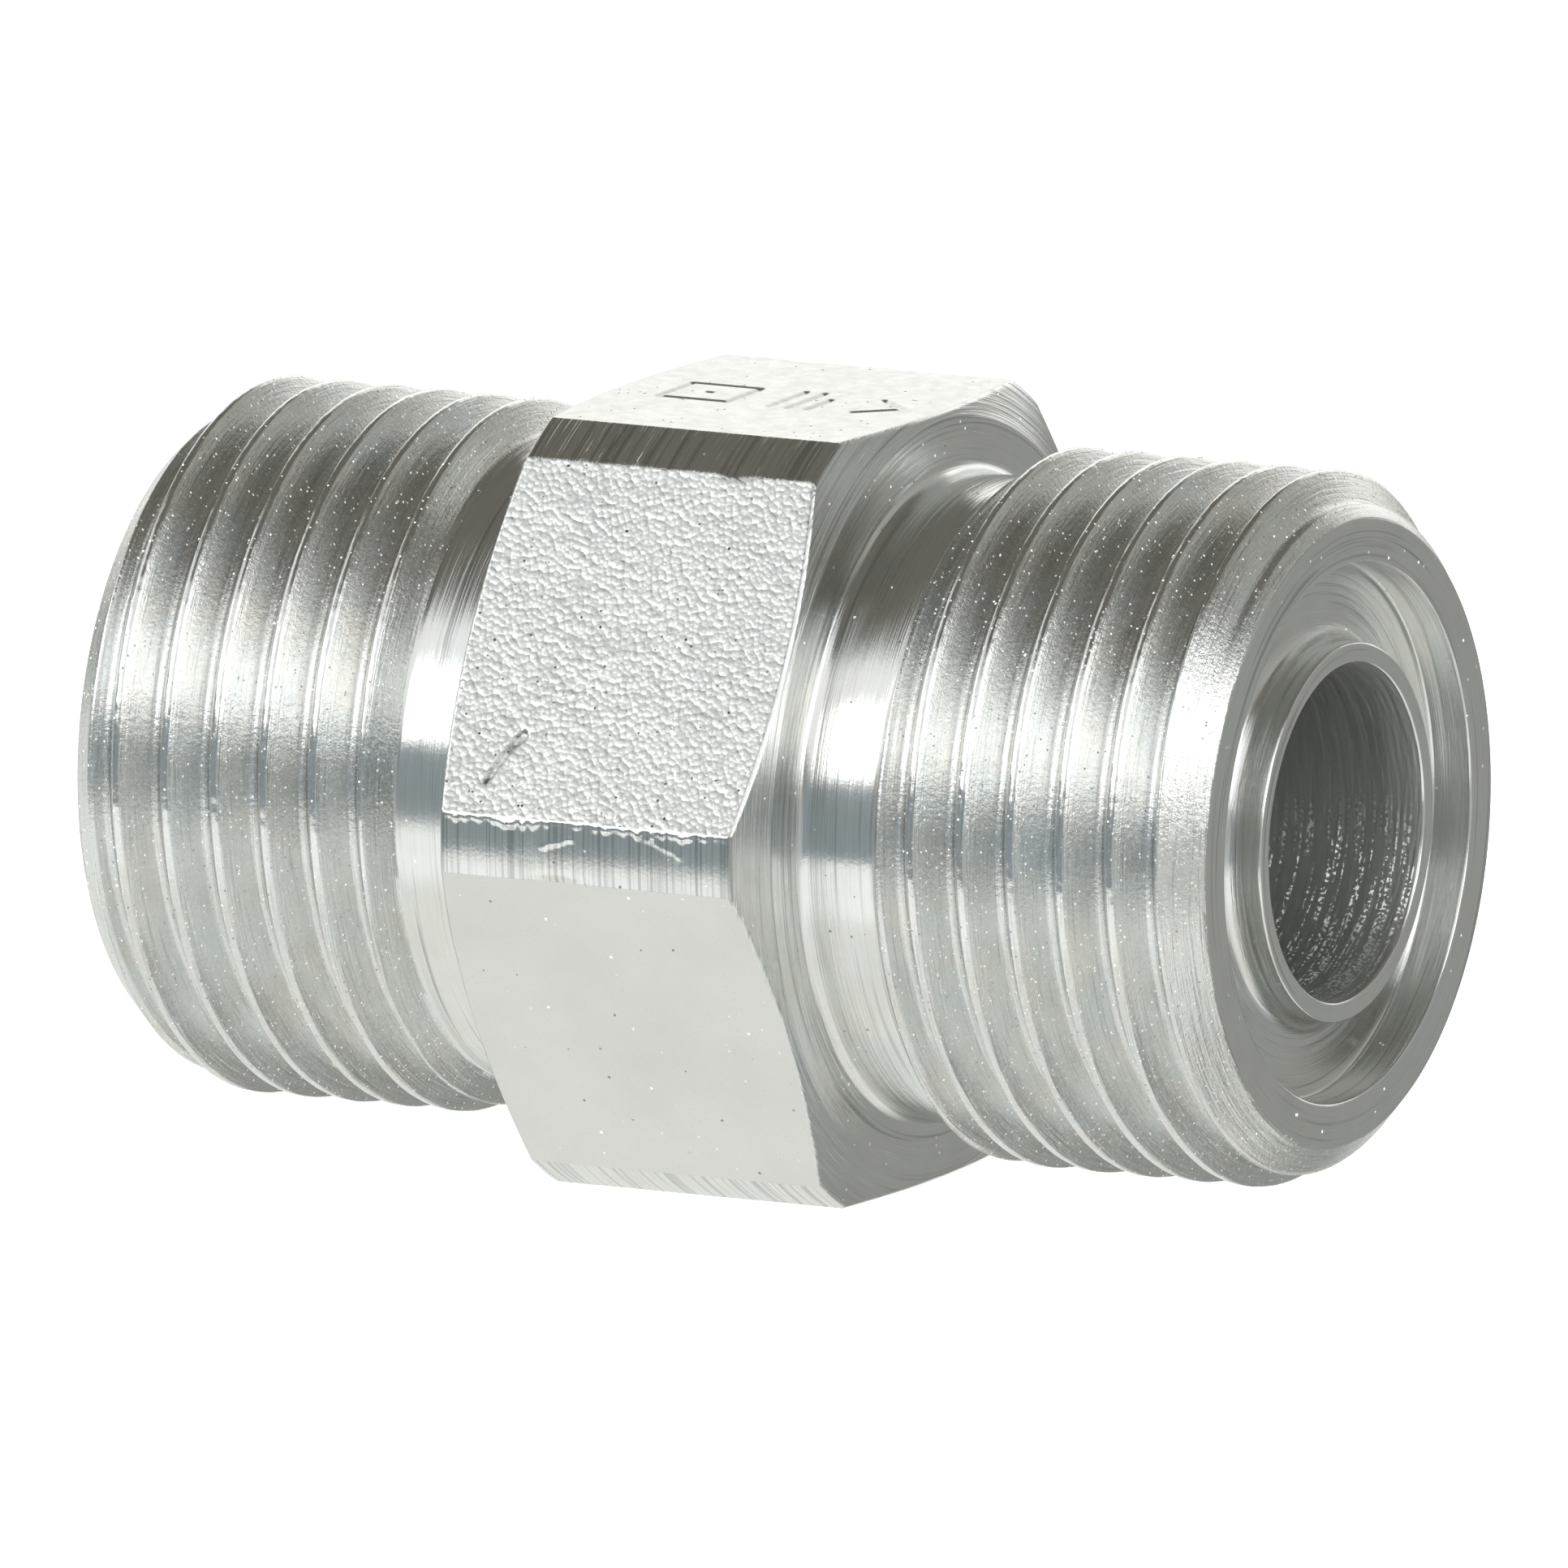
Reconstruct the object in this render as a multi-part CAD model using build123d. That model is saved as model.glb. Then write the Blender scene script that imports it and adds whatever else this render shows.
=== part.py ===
"""Hex nipple: a straight union for O-ring face seal tube fittings, size 1/2 in tube.

One turned and threaded steel body carries a hexagon in the middle, a 13/16-16 UN
thread on each side of it, and a captive O-ring groove in each end face around a low
nose. A rubber O-ring sits in the groove of the -X end.

Frame: millimetres. The bore runs along X, with the origin on its axis at mid-length.
+Z is up, with one flat of the hexagon on top and one below. +X is the open-groove end.
"""
import os
from math import floor, radians, tan

from build123d import *

# ---- driving dimensions, mm -------------------------------------------------------
OVERALL_LENGTH = 36.2          # land to land
BORE_DIAMETER = 9.74

# hexagon, 7/8 in across flats, its corners turned down and its ends bevelled
HEX_ACROSS_FLATS = 22.225
HEX_CORNER_DIAMETER = 24.70
HEX_LENGTH = 10.40             # between its two end faces
HEX_FACE_DIAMETER = 21.60      # flat ring of each end face, inside the bevel
HEX_BEVEL_ANGLE = 20.0         # degrees between the bevel and the end face

# relief neck between the hexagon and each thread
NECK_DIAMETER = 18.56
NECK_END = 7.68                # distance from mid-length to where the thread rises
NECK_FILLET = 0.45

# 13/16-16 UN-2A thread, right-hand on both ends
THREAD_DIAMETER = 20.60
THREAD_PITCH = 25.4 / 16
THREAD_FLANK_ANGLE = 30.0      # degrees between a flank and the radial plane
THREAD_DEPTH = 0.97
THREAD_ROOT_FLAT = 0.27        # leaves a crest an eighth of the pitch wide
# where the groove's middle crosses the -Y side of each stub, from mid-length
THREAD_PHASE_PLUS = 8.54
THREAD_PHASE_MINUS = -16.98

# end faces
END_CHAMFER_PLUS = 1.13        # along the axis, from the crest to the land
END_CHAMFER_MINUS = 1.45
LAND_OUTER_DIAMETER = 17.98
GROOVE_OUTER_DIAMETER = 15.52
GROOVE_INNER_DIAMETER = 10.90
GROOVE_DEPTH = 1.27
GROOVE_MOUTH_BREAK = 0.07
GROOVE_FLOOR_FILLET = 0.15
NOSE_FILLET = 0.60             # concave, at the foot of the nose
NOSE_RECESS = 0.05             # the nose stands this far below the land
NOSE_EDGE_BREAK = 0.12
BORE_EDGE_BREAK = 0.12

# O-ring, 1.78 mm section, pushed in until the groove's outer wall holds it
O_RING_SECTION = 1.78

# ---- worked out from the above ----------------------------------------------------
HALF_LENGTH = OVERALL_LENGTH / 2
BORE_RADIUS = BORE_DIAMETER / 2
CREST_RADIUS = THREAD_DIAMETER / 2
ROOT_RADIUS = CREST_RADIUS - THREAD_DEPTH
NECK_RADIUS = NECK_DIAMETER / 2
LAND_RADIUS = LAND_OUTER_DIAMETER / 2
GROOVE_OUTER = GROOVE_OUTER_DIAMETER / 2
GROOVE_INNER = GROOVE_INNER_DIAMETER / 2
GROOVE_FLOOR = HALF_LENGTH - GROOVE_DEPTH
HEX_CORNER_RADIUS = HEX_CORNER_DIAMETER / 2
HEX_BEVEL_LENGTH = (HEX_CORNER_DIAMETER - HEX_FACE_DIAMETER) / 2 * tan(radians(HEX_BEVEL_ANGLE))
CUT_CLEARANCE = 0.25           # how far the thread cutter reaches past the crest
END_CLEARANCE = 1.0            # how far the other cutters reach past an end face
SAME_PLACE = 0.01              # two edges closer than this are the same edge
TURNS_PAST_END = 2             # turns of thread cutter beyond each end face


def turned_ring(points):
    """A solid of revolution about X from (distance along X, radius) points."""
    outline = make_face(Plane.XZ * Polyline(points, close=True))
    return revolve(outline, Axis.X)


def edges_at(solid, x, radius):
    """The circular edges about X that lie at this distance and radius."""
    found = []
    for edge in solid.edges().filter_by(GeomType.CIRCLE):
        centre = edge.arc_center
        at_x = abs(centre.X - x) < SAME_PLACE
        on_axis = abs(centre.Y) < SAME_PLACE and abs(centre.Z) < SAME_PLACE
        if at_x and on_axis and abs(edge.radius - radius) < SAME_PLACE:
            found.append(edge)
    return found


def hexagon():
    """The wrench hexagon with turned corners and a bevel at each end."""
    outline = Plane.YZ * RegularPolygon(HEX_ACROSS_FLATS / 2, 6, major_radius=False)
    prism = extrude(outline, HEX_LENGTH / 2, both=True)
    end = HEX_LENGTH / 2
    corner_end = end - HEX_BEVEL_LENGTH
    face_radius = HEX_FACE_DIAMETER / 2
    envelope = turned_ring([
        (-end, 0), (-end, face_radius), (-corner_end, HEX_CORNER_RADIUS),
        (corner_end, HEX_CORNER_RADIUS), (end, face_radius), (end, 0),
    ])
    return prism & envelope


def turned_stock():
    """The turned shape under the hexagon: necks, plain stubs and end chamfers."""
    rise = THREAD_DEPTH + (ROOT_RADIUS - NECK_RADIUS)
    rise_length = rise * tan(radians(THREAD_FLANK_ANGLE))
    outline = [(-HALF_LENGTH, 0), (-HALF_LENGTH, LAND_RADIUS)]
    outline += [(END_CHAMFER_MINUS - HALF_LENGTH, CREST_RADIUS)]
    outline += [(-NECK_END - rise_length, CREST_RADIUS), (-NECK_END, NECK_RADIUS)]
    outline += [(NECK_END, NECK_RADIUS), (NECK_END + rise_length, CREST_RADIUS)]
    outline += [(HALF_LENGTH - END_CHAMFER_PLUS, CREST_RADIUS)]
    outline += [(HALF_LENGTH, LAND_RADIUS), (HALF_LENGTH, 0)]
    return turned_ring(outline)


def face_groove():
    """The ring of metal cut from the +X end face, which leaves the nose standing."""
    nose_face = HALF_LENGTH - NOSE_RECESS
    beyond = HALF_LENGTH + END_CLEARANCE
    groove = turned_ring([
        (beyond, GROOVE_INNER), (GROOVE_FLOOR, GROOVE_INNER),
        (GROOVE_FLOOR, GROOVE_OUTER), (beyond, GROOVE_OUTER),
    ])
    groove = fillet(edges_at(groove, GROOVE_FLOOR, GROOVE_INNER), NOSE_FILLET)
    groove = fillet(edges_at(groove, GROOVE_FLOOR, GROOVE_OUTER), GROOVE_FLOOR_FILLET)
    recess = turned_ring([
        (nose_face, 0), (nose_face, GROOVE_INNER), (beyond, GROOVE_INNER), (beyond, 0),
    ])
    return groove + recess


def one_turn_of_groove():
    """One turn of the right-hand V groove about X, starting at x = 0 on the -Y side."""
    half_root = THREAD_ROOT_FLAT / 2
    depth = THREAD_DEPTH + CUT_CLEARANCE
    half_mouth = half_root + depth * tan(radians(THREAD_FLANK_ANGLE))
    section = make_face(Plane.XZ * Polyline([
        (ROOT_RADIUS, -half_root), (ROOT_RADIUS, half_root),
        (ROOT_RADIUS + depth, half_mouth), (ROOT_RADIUS + depth, -half_mouth),
    ], close=True))
    path = Helix(THREAD_PITCH, THREAD_PITCH, ROOT_RADIUS)
    groove = sweep(section, path=path, is_frenet=True)
    # the sweep stands on Z and starts at +X: lay it along X, which takes its start to -Z,
    # and roll it from there to -Y
    return Rot(-90, 0, 0) * Rot(0, 90, 0) * groove


def cut_thread(body, phase, first, last):
    """Cut the thread groove between first and last, a turn at a time.

    phase is where the groove's middle crosses the -Y side.
    """
    turn = one_turn_of_groove()
    start = phase - THREAD_PITCH * floor((phase - first) / THREAD_PITCH)
    turns = floor((last - start) / THREAD_PITCH)
    for number in range(turns):
        body -= Pos(start + number * THREAD_PITCH, 0, 0) * turn
    return body


def nipple_body():
    """The steel body in one piece."""
    body = turned_stock() + hexagon()
    neck_corners = []
    for side in (1, -1):
        neck_corners += edges_at(body, side * HEX_LENGTH / 2, NECK_RADIUS)
    body = fillet(neck_corners, NECK_FILLET)

    body -= Cylinder(BORE_RADIUS, OVERALL_LENGTH + 2 * END_CLEARANCE, rotation=(0, 90, 0))
    groove = face_groove()
    body -= groove
    body -= Rot(0, 0, 180) * groove

    nose_face = HALF_LENGTH - NOSE_RECESS
    for side in (1, -1):
        body = chamfer(edges_at(body, side * nose_face, GROOVE_INNER), NOSE_EDGE_BREAK)
        body = chamfer(edges_at(body, side * nose_face, BORE_RADIUS), BORE_EDGE_BREAK)
        body = chamfer(edges_at(body, side * HALF_LENGTH, GROOVE_OUTER), GROOVE_MOUTH_BREAK)

    neck_side = NECK_END - THREAD_PITCH
    past_end = HALF_LENGTH + TURNS_PAST_END * THREAD_PITCH
    body = cut_thread(body, THREAD_PHASE_PLUS, neck_side, past_end)
    return cut_thread(body, THREAD_PHASE_MINUS, -past_end, -neck_side)


def face_seal_o_ring():
    """The rubber ring in the -X groove, against the groove's floor and outer wall."""
    section_radius = O_RING_SECTION / 2
    centre_radius = GROOVE_OUTER - section_radius
    centre_x = -(GROOVE_FLOOR + section_radius)
    return Pos(centre_x, 0, 0) * Rot(0, 90, 0) * Torus(centre_radius, section_radius)


NODES = {
    "nipple_body": nipple_body,
    "face_seal_o_ring": face_seal_o_ring,
}

os.makedirs("parts", exist_ok=True)
for name, build in NODES.items():
    piece = build()
    piece.label = name
    export_step(piece, f"parts/{name}.step")
    print(name, "volume", round(piece.volume, 1), "valid", piece.is_valid)
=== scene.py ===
"""Hex nipple with face seal ends, on a pale studio floor. Blender 4.5.

The steel body is one closed skin of rings around the bore (X). Its shape is worked out
in millimetres and written to Blender in metres. Angles round the bore run from +Y
towards +Z.
"""

import math
from collections import namedtuple

import bpy
import numpy as np
from mathutils import Matrix, Vector


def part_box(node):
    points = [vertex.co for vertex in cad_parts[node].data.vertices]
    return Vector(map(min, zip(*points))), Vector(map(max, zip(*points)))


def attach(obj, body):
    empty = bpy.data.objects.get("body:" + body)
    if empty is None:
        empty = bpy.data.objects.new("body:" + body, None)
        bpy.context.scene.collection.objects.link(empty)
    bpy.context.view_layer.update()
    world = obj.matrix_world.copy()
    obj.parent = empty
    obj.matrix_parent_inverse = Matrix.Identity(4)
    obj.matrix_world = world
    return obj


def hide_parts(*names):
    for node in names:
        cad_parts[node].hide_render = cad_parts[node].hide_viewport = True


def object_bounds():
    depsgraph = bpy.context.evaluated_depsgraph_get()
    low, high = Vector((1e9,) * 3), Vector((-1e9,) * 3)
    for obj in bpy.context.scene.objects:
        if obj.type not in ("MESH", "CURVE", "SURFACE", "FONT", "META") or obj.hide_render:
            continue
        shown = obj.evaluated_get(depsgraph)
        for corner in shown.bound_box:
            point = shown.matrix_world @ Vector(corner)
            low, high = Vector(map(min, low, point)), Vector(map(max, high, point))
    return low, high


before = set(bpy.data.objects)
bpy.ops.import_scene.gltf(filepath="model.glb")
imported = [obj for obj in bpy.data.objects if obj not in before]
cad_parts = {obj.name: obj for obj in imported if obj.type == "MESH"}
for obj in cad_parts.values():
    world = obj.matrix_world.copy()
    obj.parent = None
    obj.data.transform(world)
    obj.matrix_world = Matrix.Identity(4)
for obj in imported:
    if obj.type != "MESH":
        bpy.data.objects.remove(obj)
cad_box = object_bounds()

MM = 0.001

# ---- sizes of the real thing, mm --------------------------------------------------
body_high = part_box("nipple_body")[1]
ring_low, ring_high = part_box("face_seal_o_ring")
HALF_LENGTH = body_high[0] / MM
FLAT_DISTANCE = body_high[2] / MM           # bore axis to a flat
CORNER_RADIUS = 12.35
HEX_HALF = 5.20
HEX_FACE_RADIUS = 10.80
BEVEL_SLOPE = math.tan(math.radians(20))    # along X for each mm of radius
NECK_RADIUS = 9.28
NECK_END = 7.68
NECK_FILLET = 0.45
CREST_RADIUS = 10.30
ROOT_RADIUS = 9.33
PITCH = 25.4 / 16
FLANK = math.tan(math.radians(60))          # radius gained for each mm along X
ROOT_HALF = 0.135
ROOT_ROUNDING = 0.16
CREST_ROUNDING = 0.09
END_ROUNDING = 0.05
PHASE_PLUS = 8.54                           # a groove's middle on the -Y side
PHASE_MINUS = -16.98
CHAMFER_PLUS = 1.13
CHAMFER_MINUS = 1.45
LAND_RADIUS = 8.99
GROOVE_OUTER = 7.76
GROOVE_INNER = 5.45
GROOVE_DEPTH = 1.27
NOSE_RECESS = 0.05
NOSE_FILLET = 0.60
FLOOR_FILLET = 0.15
EDGE_BREAK = 0.09
BORE_RADIUS = 4.87

FLAT_NORMALS = [30 + 60 * i for i in range(6)]      # degrees; 90 is the top flat
PEBBLED = (150, 330)                                # the two rough forged flats
STAMPED = 90

# marks on the skin, mm: (x, distance round or across) of each end of a stroke
PEBBLES_PER_MM = 4.4
PEBBLE_HEIGHT = 0.005
DENT_START, DENT_END = (-3.37, 4.26), (-2.58, 2.89)
DENT_WIDTH = 0.40
DENT_DEPTH = 0.09
CHIP_START, CHIP_END = (-1.37, -0.11), (-0.43, -0.42)
CURL_START, CURL_END = (1.90, -0.64), (3.01, -0.24)
BURR_HEIGHT = 0.5                           # share of the way from the corner to the flat's plane
BURR_LONGEST = 1.3                          # degrees round from the flat's edge
BURR_SLOPE = 0.45                           # degrees over which it falls away
CHIP_HEIGHT, CHIP_WIDTH = 0.022, 0.24
CURL_HEIGHT, CURL_WIDTH = 0.012, 0.26
CORNER_LINES = 0.0045
END_LINES = 0.006
CREST_WEAR = 0.006
PARTING_LINE = 0.012                        # height of the O-ring's mould line
PARTING_SPREAD = 0.12
STAMP_WIDTH = 0.28
STAMP_DEPTH = 0.08
STAMP_STROKES = [
    ((-3.4, -1.1), (-1.2, -1.1)), ((-1.2, -1.1), (-1.2, 1.1)), ((-1.2, 1.1), (-3.4, 1.1)),
    ((-3.4, 1.1), (-3.4, -1.1)), ((-2.35, 0), (-2.25, 0)),
    ((0.2, -1.2), (0.2, 1.2)), ((0.8, -1.2), (0.8, 1.2)), ((1.4, -0.4), (1.4, 1.2)),
    ((2.8, -1.0), (3.9, 0)), ((3.9, 0), (2.8, 1.0)),
]
# nicks in the turned corners: degrees round, x, width, depth
CORNER_NICKS = [(184.2, -0.9, 0.8, 0.06), (123.6, 2.1, 0.4, 0.05), (63.5, -2.0, 0.6, 0.06),
                (303.8, 1.4, 0.5, 0.06)]

# mesh density: columns over each flat, and over the turned corner after it
FLAT_COLUMNS = {30: 40, 90: 170, 150: 140, 210: 40, 270: 40, 330: 90}
CORNER_COLUMNS = {30: 9, 90: 9, 150: 26, 210: 9, 270: 9, 330: 9}
BESIDE_EDGE = 0.22                          # degrees from an edge's column to the next one
HEX_ROWS = 150
HEX_LIP = 0.08                              # small break between the long faces and the bevels
BEVEL_ROWS = 15
FACE_ROWS = 10
FILLET_ROWS = 9
NECK_ROWS = 14
BORE_ROWS = 24
ROW_CLEARANCE = 0.012                       # rows closer than this to a thread's end move onto it
SAME_POINT = 1e-8                           # metres
EDGE_ANGLE = math.degrees(math.acos(FLAT_DISTANCE / CORNER_RADIUS))


# ---- small numeric helpers --------------------------------------------------------
def smooth_min(a, b, width):
    """The lower of a and b, with the corner between them rounded over width."""
    mix = np.clip(0.5 + 0.5 * (b - a) / width, 0, 1)
    return b + (a - b) * mix - width * mix * (1 - mix)


def smooth_max(a, b, width):
    return -smooth_min(-a, -b, width)


def value_noise(u, v, seed, period_u=0):
    """Smooth random heights from -1 to 1, one cell per unit of u and v.

    With period_u, the pattern repeats after that many cells of u.
    """
    grid = np.random.default_rng(seed).uniform(-1, 1, (256, 256))
    cell_u, cell_v = np.floor(u).astype(int), np.floor(v).astype(int)
    part_u, part_v = u - cell_u, v - cell_v
    part_u = part_u * part_u * (3 - 2 * part_u)
    part_v = part_v * part_v * (3 - 2 * part_v)
    wrap = period_u or 256

    def corner(step_u, step_v):
        return grid[(cell_u + step_u) % wrap % 256, (cell_v + step_v) % 256]

    low = corner(0, 0) * (1 - part_u) + corner(1, 0) * part_u
    high = corner(0, 1) * (1 - part_u) + corner(1, 1) * part_u
    return low * (1 - part_v) + high * part_v


def arc_points(centre_x, centre_r, radius, start, end, count):
    """(x, r) points of an arc, angles in degrees from +X towards +r."""
    angles = np.radians(np.linspace(start, end, count))
    return [(centre_x + radius * math.cos(a), centre_r + radius * math.sin(a)) for a in angles]


def between(start, end, count):
    """Points after start up to and with end, evenly spaced."""
    return list(np.linspace(start, end, count + 1)[1:])


# ---- columns round the bore -------------------------------------------------------
def column_angles():
    """Degrees, with columns on and beside both edges of every hexagon corner."""
    angles = []
    for normal in FLAT_NORMALS:
        across_end = EDGE_ANGLE - BESIDE_EDGE
        corner_start = EDGE_ANGLE + BESIDE_EDGE
        corner_end = 60 - EDGE_ANGLE - BESIDE_EDGE
        across = np.linspace(-EDGE_ANGLE + BESIDE_EDGE, across_end, FLAT_COLUMNS[normal])
        corner = np.linspace(corner_start, corner_end, CORNER_COLUMNS[normal])
        angles.extend(normal + np.concatenate([[-EDGE_ANGLE], across, [EDGE_ANGLE], corner]))
    return np.array(angles)


ANGLES = column_angles()
COLUMNS = len(ANGLES)
TURN = np.radians(ANGLES)
FROM_FLAT = ANGLES % 60 - 30                        # degrees from the nearest flat's normal
HEX_RADIUS = np.minimum(FLAT_DISTANCE / np.cos(np.radians(FROM_FLAT)), CORNER_RADIUS)


# ---- the skin, section by section: each gives (x, r) arrays of rows by columns ----
def rings(points):
    """Plain turned rows: the same (x, r) all the way round."""
    x = np.array([p[0] for p in points], float)[:, None]
    r = np.array([p[1] for p in points], float)[:, None]
    return x + np.zeros(COLUMNS), r + np.zeros(COLUMNS)


def hex_end_x(radius):
    """Distance from the hexagon's middle to its bevel at that radius."""
    return HEX_HALF - np.maximum(radius - HEX_FACE_RADIUS, 0) * BEVEL_SLOPE


def hexagon_section():
    """From the -X end face's fillet over the flats to the +X one's."""
    edge = hex_end_x(HEX_RADIUS - HEX_LIP)
    rows_x, rows_r = [], []
    for along in np.linspace(-1, 1, HEX_ROWS):
        rows_x.append(along * (edge - HEX_LIP))
        rows_r.append(HEX_RADIUS)
    end_x, end_r = [], []
    for share in np.linspace(0, 1, BEVEL_ROWS):
        radius = (HEX_RADIUS - HEX_LIP) * (1 - share) + HEX_FACE_RADIUS * share
        end_x.append(hex_end_x(radius))
        end_r.append(radius)
    for radius in between(HEX_FACE_RADIUS, NECK_RADIUS + NECK_FILLET, FACE_ROWS):
        end_x.append(np.full(COLUMNS, HEX_HALF))
        end_r.append(np.full(COLUMNS, radius))
    rows_x = [-x for x in reversed(end_x)] + rows_x + end_x
    rows_r = list(reversed(end_r)) + rows_r + end_r
    return np.array(rows_x), np.array(rows_r)


def neck_points():
    """From the hexagon's +X end face, round the fillet, to where the thread rises."""
    fillet_end = HEX_HALF + NECK_FILLET
    fillet = arc_points(fillet_end, NECK_RADIUS + NECK_FILLET, NECK_FILLET, 180, 270, FILLET_ROWS)
    return fillet + [(x, NECK_RADIUS) for x in between(fillet_end, NECK_END, NECK_ROWS)]


# rows of one pitch, as shares of it from the groove's middle, closer at the corners
PITCH_ROWS = np.array([0, .045, .07, .09, .12, .18, .25, .33, .39, .42, .437, .455,
                       .5, .545, .563, .58, .61, .67, .75, .82, .88, .91, .93, .955])


def thread_radius(x, groove_middle):
    """Radius of an endless thread at distance x from mid-length."""
    away = np.abs((x - groove_middle + PITCH / 2) % PITCH - PITCH / 2)
    flank = ROOT_RADIUS + (away - ROOT_HALF) * FLANK
    return smooth_min(smooth_max(flank, ROOT_RADIUS, ROOT_ROUNDING), CREST_RADIUS, CREST_ROUNDING)


def thread_section(phase, side):
    """Helical rows from the neck to the end face's land, cut off at both ends."""
    start, end = (NECK_END, HALF_LENGTH) if side > 0 else (-HALF_LENGTH, -NECK_END)
    from_phase = (ANGLES - 180) / 360
    first = math.floor((start - phase) / PITCH) - 1
    last = math.ceil((end - phase) / PITCH) + 1
    shares = np.concatenate([number + PITCH_ROWS for number in range(first, last)])
    middle = phase + PITCH * from_phase
    x = middle[None, :] + PITCH * shares[:, None]
    at_start, at_end = x < start + ROW_CLEARANCE, x > end - ROW_CLEARANCE
    x = np.where(at_start, start, np.where(at_end, end, x))
    away_from_middle = np.abs(x)
    thread = thread_radius(x, middle[None, :])
    rise = NECK_RADIUS + (away_from_middle - NECK_END) * FLANK
    chamfer_length = CHAMFER_PLUS if side > 0 else CHAMFER_MINUS
    chamfer_slope = (CREST_RADIUS - LAND_RADIUS) / chamfer_length
    chamfer = LAND_RADIUS + (HALF_LENGTH - away_from_middle) * chamfer_slope
    radius = smooth_min(thread, chamfer, END_ROUNDING)
    radius = smooth_min(radius, rise, END_ROUNDING)
    rim_radius = np.where(away_from_middle > NECK_END + 1, LAND_RADIUS, NECK_RADIUS)
    return x, np.where(at_start | at_end, rim_radius, radius)


def end_points():
    """The +X end face, from the chamfer's foot over land, groove and nose to the bore."""
    land_x = HALF_LENGTH
    floor_x = HALF_LENGTH - GROOVE_DEPTH
    nose_x = HALF_LENGTH - NOSE_RECESS
    edge = EDGE_BREAK
    foot_x, foot_r = floor_x + FLOOR_FILLET, GROOVE_OUTER - FLOOR_FILLET
    nose_foot = GROOVE_INNER + NOSE_FILLET
    points = [(land_x, LAND_RADIUS)]
    points += [(land_x, r) for r in between(LAND_RADIUS, GROOVE_OUTER + edge, 10)]
    points += arc_points(land_x - edge, GROOVE_OUTER + edge, edge, 0, -90, 4)[1:]
    points += [(x, GROOVE_OUTER) for x in between(land_x - edge, foot_x, 6)]
    points += arc_points(foot_x, foot_r, FLOOR_FILLET, 90, 180, 6)[1:]
    points += [(floor_x, r) for r in between(foot_r, nose_foot, 8)]
    points += arc_points(floor_x + NOSE_FILLET, nose_foot, NOSE_FILLET, 180, 270, 12)[1:]
    points += [(x, GROOVE_INNER) for x in between(floor_x + NOSE_FILLET, nose_x - edge, 6)]
    points += arc_points(nose_x - edge, GROOVE_INNER - edge, edge, 90, 0, 5)[1:]
    points += [(nose_x, r) for r in between(GROOVE_INNER - edge, BORE_RADIUS + edge, 5)]
    points += arc_points(nose_x - edge, BORE_RADIUS + edge, edge, 0, -90, 5)[1:]
    return points


def bore_points():
    inside = HALF_LENGTH - NOSE_RECESS - EDGE_BREAK
    return [(x, BORE_RADIUS) for x in np.linspace(inside, -inside, BORE_ROWS)]


# ---- wear and forging marks: changes of radius in mm, from each point's (x, r) ----
def degrees_from(angle):
    """Degrees from this angle to each column, from -180 to 180."""
    return (ANGLES - angle + 180) % 360 - 180


def across_flat(off, x):
    """Distance across a flat from its middle, where off is the degrees from its normal."""
    return FLAT_DISTANCE * np.tan(np.radians(np.clip(off, -40, 40))) + np.zeros_like(x)


def fade_at_ends(x, r):
    """1 on the hexagon's long faces, 0 at its end bevels, so that the rims stay whole."""
    edge = hex_end_x(HEX_RADIUS)[None, :]
    on_faces = r > HEX_RADIUS[None, :] - 0.01
    return np.where(on_faces, np.clip((edge - 0.06 - np.abs(x)) / 0.12, 0, 1), 0)


def forged_flats(x, r):
    """Shot-blasted skin on the two forged flats, with a dent in the front one."""
    change = np.zeros_like(x)
    for normal in PEBBLED:
        off = degrees_from(normal)
        on_flat = np.clip((EDGE_ANGLE - np.abs(off)) / 0.4, 0, 1)
        across = across_flat(off, x)
        u, v = x * PEBBLES_PER_MM, (across + 20) * PEBBLES_PER_MM
        skin = value_noise(u, v, 11) * 0.65 + value_noise(u * 2.1, v * 2.1, 12) * 0.35
        swell = value_noise(u * 0.2, v * 0.2, 13)
        change += on_flat * PEBBLE_HEIGHT * (skin + swell)
        if normal == PEBBLED[0]:
            bend = 0.12 * np.sin((x - DENT_START[0]) * 4)
            depth = along_stroke(x, across + bend, DENT_START, DENT_END, DENT_WIDTH)
            change -= DENT_DEPTH * depth * on_flat
    return change * fade_at_ends(x, r)


def along_stroke(u, v, start, end, width):
    """1 on the line from start to end, falling to 0 at half the width from it."""
    run = (end[0] - start[0], end[1] - start[1])
    share = ((u - start[0]) * run[0] + (v - start[1]) * run[1]) / (run[0] ** 2 + run[1] ** 2)
    share = np.clip(share, 0, 1)
    away = np.hypot(u - start[0] - share * run[0], v - start[1] - share * run[1])
    inside = np.clip(1 - away / (width / 2), 0, 1)
    return inside * inside * (3 - 2 * inside)


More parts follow.
